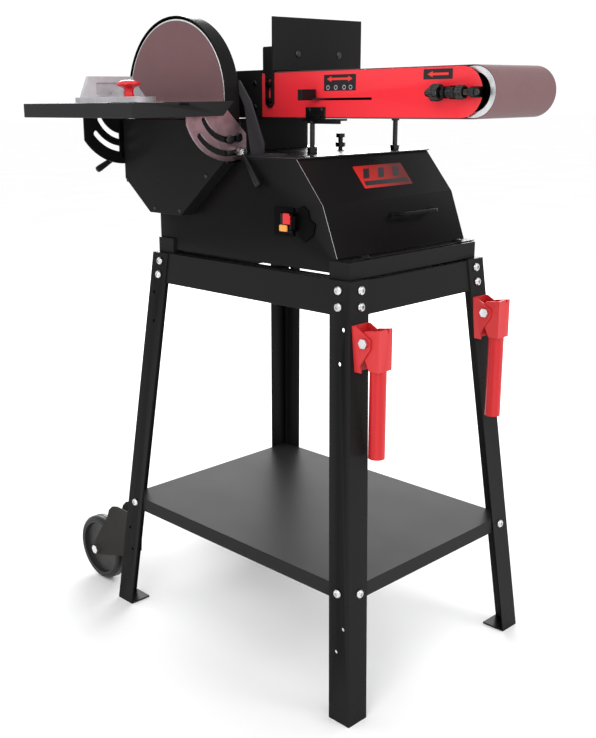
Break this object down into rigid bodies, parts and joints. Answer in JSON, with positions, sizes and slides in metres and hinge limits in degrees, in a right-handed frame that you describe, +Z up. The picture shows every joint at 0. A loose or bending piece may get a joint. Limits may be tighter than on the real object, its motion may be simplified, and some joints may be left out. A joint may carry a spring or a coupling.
{
  "type": "belt disc sander",
  "caption": "Floor-standing woodworking sander: horizontal abrasive belt on a tilting arm, abrasive disc with tilting table, sheet-steel cabinet and splayed stand with wheels.",
  "frame": {"origin": "on the floor, under the middle of the machine's box", "axes": "+Z up, +X from the drive drum towards the idler end of the belt, -Y towards the disc and its table"},
  "size_m": [0.8358, 0.5964, 1.059],
  "materials": {
    "black_paint": "satin powder coat",
    "shelf_paint": "satin powder coat",
    "red_paint": "gloss powder coat",
    "table_paint": "hammered paint",
    "zinc": "zinc plated",
    "dark_steel": "black oxide",
    "cast_aluminium": "as cast",
    "turned_aluminium": "turned",
    "abrasive": "aluminium oxide grit",
    "drive_rubber": "matt",
    "wheel_rubber": "satin",
    "red_plastic": "gloss",
    "amber_plastic": "gloss",
    "black_plastic": "satin",
    "motor_paint": "satin"
  },
  "bodies": {
    "base": {"legs": "black_paint", "top_rails": "black_paint", "shelf": "shelf_paint", "wheel_brackets": "black_paint", "handle_brackets": "red_paint", "stand_bolts": "zinc", "base_channels": "black_paint", "cabinet_front": "black_paint", "cabinet_rear": "black_paint", "cabinet_side": "black_paint", "cabinet_end_cover": "black_paint", "cabinet_top": "black_paint", "pull_handle": "dark_steel", "dust_port": "black_plastic", "cord_gland": "black_plastic", "motor": "motor_paint", "drive_belt": "drive_rubber", "bearing_blocks": "black_paint", "pulley_cover": "black_paint", "disc_guard": "black_paint", "dust_shroud": "black_paint", "belt_chute": "black_paint", "strut": "black_paint", "arm_rests": "dark_steel", "table_brackets": "dark_steel", "switch_plate": "black_plastic"},
    "shaft_line": {"drive_shaft": "dark_steel", "disc_plate": "turned_aluminium", "abrasive_disc": "abrasive", "drive_drum": "turned_aluminium", "shaft_pulley": "turned_aluminium"},
    "motor_rotor": {"motor_pulley": "turned_aluminium"},
    "belt_arm": {"arm_frame": "dark_steel", "arm_cover_front": "red_paint", "arm_cover_rear": "red_paint", "drum_hood": "black_paint", "abrasive_belt": "abrasive", "arm_stop_bracket": "dark_steel", "stop_clamp_bolts": "dark_steel", "tracking_spring": "dark_steel"},
    "work_stop": {"work_stop_bracket": "black_paint", "work_stop_plate": "black_paint"},
    "tension_lever": {"tension_lever": "dark_steel"},
    "idler_carriage": {"idler_yoke": "dark_steel"},
    "idler_drum": {"idler_drum": "turned_aluminium"},
    "tracking_screw": {"tracking_screw": "dark_steel"},
    "disc_table": {"table": "table_paint", "trunnions": "zinc"},
    "table_lock_left": {"table_lock_left": "black_plastic"},
    "table_lock_right": {"table_lock_right": "black_plastic"},
    "mitre_slide": {"mitre_bar": "zinc"},
    "mitre_head": {"mitre_head": "cast_aluminium"},
    "mitre_knob": {"mitre_knob": "red_plastic"},
    "switch_paddle": {"switch_paddle": "red_plastic"},
    "switch_key": {"switch_key": "amber_plastic"},
    "switch_flap": {"switch_flap": "black_plastic"},
    "wheel_front": {"wheel_front": "wheel_rubber"},
    "wheel_rear": {"wheel_rear": "wheel_rubber"},
    "lift_handle_front": {"lift_handle_front": "red_paint"},
    "lift_handle_rear": {"lift_handle_rear": "red_paint"}
  },
  "joints": [
    {"name": "shaft_spin", "type": "hinge", "parent": "base", "child": "shaft_line", "pos_m": [-0.11693, 0.0162, 0.934], "axis": [0, 1, 0], "continuous": true},
    {"name": "motor_spin", "type": "hinge", "parent": "base", "child": "motor_rotor", "pos_m": [-0.11693, 0.0162, 0.769], "axis": [0, 1, 0], "continuous": true},
    {"name": "arm_tilt", "type": "hinge", "parent": "base", "child": "belt_arm", "pos_m": [-0.11693, 0.0912, 0.934], "axis": [0, -1, 0], "range_deg": [0, 90]},
    {"name": "work_stop_lift", "type": "slide", "parent": "belt_arm", "child": "work_stop", "axis": [0, 0, 1], "range_m": [-0.0015, 0.004]},
    {"name": "tension_lever_swing", "type": "hinge", "parent": "belt_arm", "child": "tension_lever", "pos_m": [0.14858, 0.0782, 0.9268], "axis": [0, 0, 1], "range_deg": [0, 74.6]},
    {"name": "idler_tension", "type": "slide", "parent": "belt_arm", "child": "idler_carriage", "axis": [1, 0, 0], "range_m": [-0.0081, 0]},
    {"name": "idler_spin", "type": "hinge", "parent": "idler_carriage", "child": "idler_drum", "pos_m": [0.38167, 0.0912, 0.934], "axis": [0, 1, 0], "continuous": true},
    {"name": "tracking_turn", "type": "hinge", "parent": "belt_arm", "child": "tracking_screw", "pos_m": [0.32308, -0.0008, 0.934], "axis": [1, 0, 0], "range_deg": [-180, 180]},
    {"name": "table_tilt", "type": "hinge", "parent": "base", "child": "disc_table", "pos_m": [-0.11693, -0.1034, 0.9257], "axis": [1, 0, 0], "range_deg": [0, 45]},
    {"name": "table_lock_left_turn", "type": "hinge", "parent": "base", "child": "table_lock_left", "pos_m": [-0.26693, -0.08576, 0.84869], "axis": [1, 0, 0], "range_deg": [0, 50]},
    {"name": "table_lock_right_turn", "type": "hinge", "parent": "base", "child": "table_lock_right", "pos_m": [0.02307, -0.08576, 0.84869], "axis": [1, 0, 0], "range_deg": [-60, 0]},
    {"name": "mitre_travel", "type": "slide", "parent": "disc_table", "child": "mitre_slide", "axis": [1, 0, 0], "range_m": [-0.06, 0.055]},
    {"name": "mitre_swivel", "type": "hinge", "parent": "mitre_slide", "child": "mitre_head", "pos_m": [-0.10693, -0.2018, 0.93], "axis": [0, 0, 1], "range_deg": [-45, 45]},
    {"name": "mitre_knob_turn", "type": "hinge", "parent": "mitre_head", "child": "mitre_knob", "pos_m": [-0.10693, -0.2018, 0.94], "axis": [0, 0, 1], "range_deg": [0, 180]},
    {"name": "switch_press", "type": "slide", "parent": "base", "child": "switch_paddle", "axis": [0, 1, 0], "range_m": [0, 0.003], "stiffness_N_per_m": 800},
    {"name": "switch_key_pull", "type": "slide", "parent": "switch_paddle", "child": "switch_key", "axis": [0, -1, 0], "range_m": [0, 0.006]},
    {"name": "switch_flap_swing", "type": "hinge", "parent": "base", "child": "switch_flap", "pos_m": [0.14108, -0.0907, 0.747], "axis": [0, 0, -1], "range_deg": [0, 180]},
    {"name": "wheel_front_spin", "type": "hinge", "parent": "base", "child": "wheel_front", "pos_m": [-0.35392, -0.1338, 0.066], "axis": [0, 1, 0], "continuous": true},
    {"name": "wheel_rear_spin", "type": "hinge", "parent": "base", "child": "wheel_rear", "pos_m": [-0.35392, 0.2662, 0.066], "axis": [0, 1, 0], "continuous": true},
    {"name": "lift_handle_front_swing", "type": "hinge", "parent": "base", "child": "lift_handle_front", "pos_m": [0.29407, -0.08071, 0.587], "axis": [0, -1, 0], "range_deg": [0, 90]},
    {"name": "lift_handle_rear_swing", "type": "hinge", "parent": "base", "child": "lift_handle_rear", "pos_m": [0.29407, 0.21971, 0.587], "axis": [0, -1, 0], "range_deg": [0, 90]}
  ],
  "couplings": [
    {"joint": "motor_spin", "follows": "shaft_spin", "ratio": 1},
    {"joint": "idler_spin", "follows": "shaft_spin", "ratio": 1},
    {"joint": "idler_tension", "follows": "tension_lever_swing", "m_per_rad": -0.00614}
  ]
}
